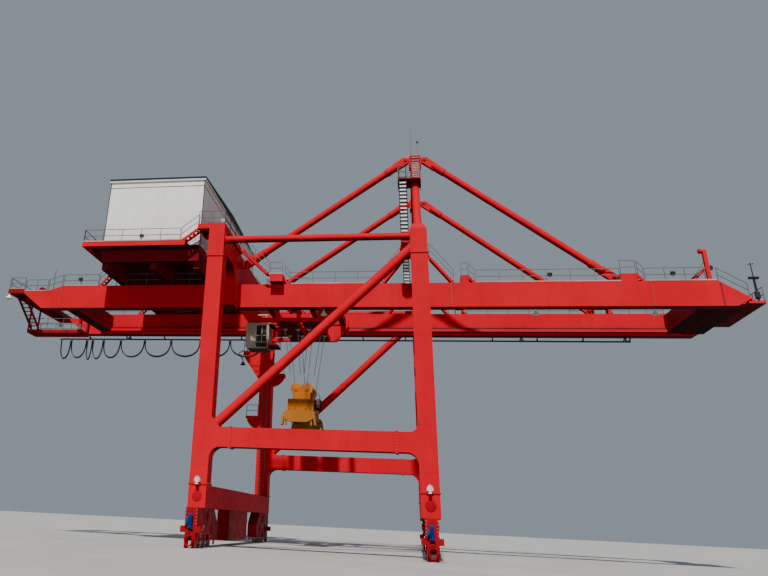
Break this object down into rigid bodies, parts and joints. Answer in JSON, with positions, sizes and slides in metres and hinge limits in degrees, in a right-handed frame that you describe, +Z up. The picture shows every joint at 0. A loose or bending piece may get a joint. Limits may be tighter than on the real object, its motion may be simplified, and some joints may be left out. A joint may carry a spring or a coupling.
{
  "type": "ship-to-shore container crane, 1:2 scale model",
  "caption": "Fixed-boom twin-girder quay crane on a rail portal, with a machinery house, travelling trolley with operator cab and a hoisted container spreader. Scale model at 1:2.",
  "frame": {"origin": "middle of the crane's length and width, at the level of the rail tops", "axes": "+X out over the water along the boom, +Y along the quay rails, +Z up"},
  "size_m": [31.7, 13.9996, 17.85],
  "materials": {
    "crane_red": "satin red paint",
    "house_sheet": "matt light grey sheet",
    "roof_sheet": "dark trim",
    "hoist_yellow": "worn yellow paint",
    "cab_paint": "beige paint",
    "cab_glass": "tinted glass",
    "rope_dark": "greased wire rope",
    "rail_steel": "worn running steel",
    "rail_grey": "galvanised tube",
    "motor_blue": "gloss blue paint"
  },
  "bodies": {
    "crane": {"aerials": "rail_grey", "apex_beam": "crane_red", "backstays": "crane_red", "boarding_platform": "crane_red", "bogies": "crane_red", "brace_pipes": "crane_red", "crossing_floors": "crane_red", "festoon_cables": "rope_dark", "festoon_track": "rope_dark", "forestays": "crane_red", "girder_far": "crane_red", "girder_landings": "crane_red", "girder_near": "crane_red", "girder_railings": "rail_grey", "house_beams": "crane_red", "house_headers": "crane_red", "house_platform": "crane_red", "house_railing": "rail_grey", "house_roof": "roof_sheet", "landside_cross_beam": "crane_red", "landside_leg_far": "crane_red", "landside_leg_near": "crane_red", "leg_landings": "crane_red", "machinery_house": "house_sheet", "mast_ladder": "rail_grey", "mast_platform": "crane_red", "masts": "crane_red", "nose_beam": "crane_red", "nose_davit": "crane_red", "nose_lamp_post": "rail_grey", "nose_platform": "crane_red", "platform_railings": "rail_grey", "portal_beams": "crane_red", "rail_clamps": "crane_red", "service_floor": "crane_red", "sill_beams": "crane_red", "sill_cabinet": "crane_red", "stair_railings": "rail_grey", "stair_stringers": "crane_red", "stair_treads": "rail_grey", "tail_beam": "crane_red", "tail_gangway": "crane_red", "tail_platform": "crane_red", "tie_pipes": "crane_red", "travel_motors": "motor_blue", "travel_wheels": "rail_steel", "trolley_rails": "rail_steel", "waterside_cross_beam": "crane_red", "waterside_leg_far": "crane_red", "waterside_leg_near": "crane_red", "work_lamps": "rail_grey"},
    "trolley": {"trolley_frame": "crane_red", "trolley_wheels": "rail_steel", "cab_balcony": "crane_red", "cab_glazing": "cab_glass", "hoist_ropes": "rope_dark", "operator_cab": "cab_paint"},
    "spreader": {"block_sheaves": "rail_steel", "head_block": "hoist_yellow", "spreader": "hoist_yellow"}
  },
  "joints": [
    {"name": "trolley_travel", "type": "slide", "parent": "crane", "child": "trolley", "axis": [1, 0, 0], "range_m": [-7.4, 14.15]},
    {"name": "hoist", "type": "slide", "parent": "trolley", "child": "spreader", "axis": [0, 0, 1], "range_m": [-4.3, 1.8], "deforming": ["hoist_ropes"]}
  ]
}
